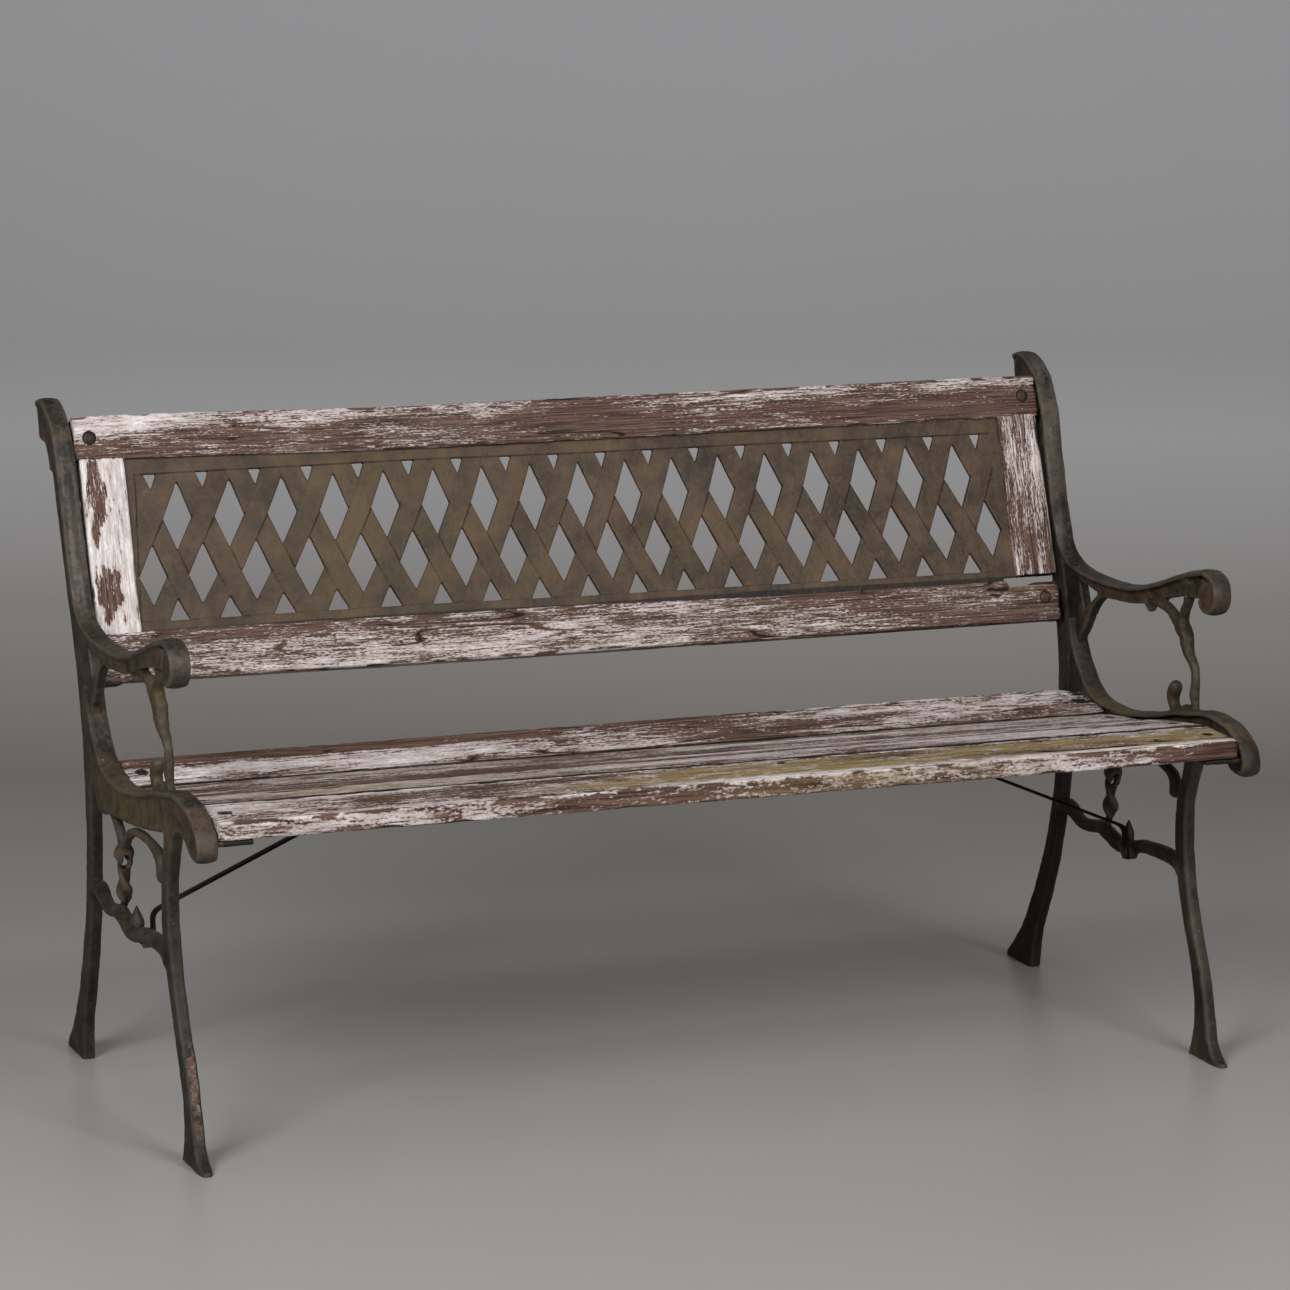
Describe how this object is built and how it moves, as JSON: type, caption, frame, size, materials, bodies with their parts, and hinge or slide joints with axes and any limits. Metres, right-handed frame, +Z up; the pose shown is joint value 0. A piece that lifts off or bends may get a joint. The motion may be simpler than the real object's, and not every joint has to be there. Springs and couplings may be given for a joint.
{
  "type": "garden bench",
  "caption": "Two-seat garden bench: cast iron scroll-arm ends with a vine, a framed diamond lattice back, bolted painted wood rails and seat slats, and flat seat braces.",
  "frame": {"origin": "on the floor, in the middle of the bench's outer box", "axes": "+X along the bench to the sitter's left, which is the viewer's right from the front; +Y to the rear; +Z up; the front is -Y"},
  "size_m": [1.232, 0.627, 0.746],
  "materials": {
    "iron": "weathered cast iron, dark brown-green patina",
    "lattice": "dark weathered cast iron with rust spots",
    "painted_wood": "flaking white paint over reddish-brown wood",
    "seat_wood": "worn white paint and moss over grey-brown wood",
    "brace_iron": "black flat bar",
    "fasteners": "dull rusted steel"
  },
  "bodies": {
    "root": {"end_frame_left": "iron", "end_frame_right": "iron", "lattice_panel": "lattice", "back_rail_bottom": "painted_wood", "back_rail_top": "painted_wood", "back_stile_left": "painted_wood", "back_stile_right": "painted_wood", "seat_slat_1": "seat_wood", "seat_slat_2": "seat_wood", "seat_slat_3": "seat_wood", "seat_slat_4": "seat_wood", "seat_slat_5": "seat_wood", "seat_brace_left": "brace_iron", "seat_brace_right": "brace_iron", "back_bolts": "fasteners", "back_nuts": "fasteners", "seat_bolts": "fasteners", "seat_nuts": "fasteners", "brace_bolts": "fasteners", "brace_screws": "fasteners"}
  },
  "joints": []
}
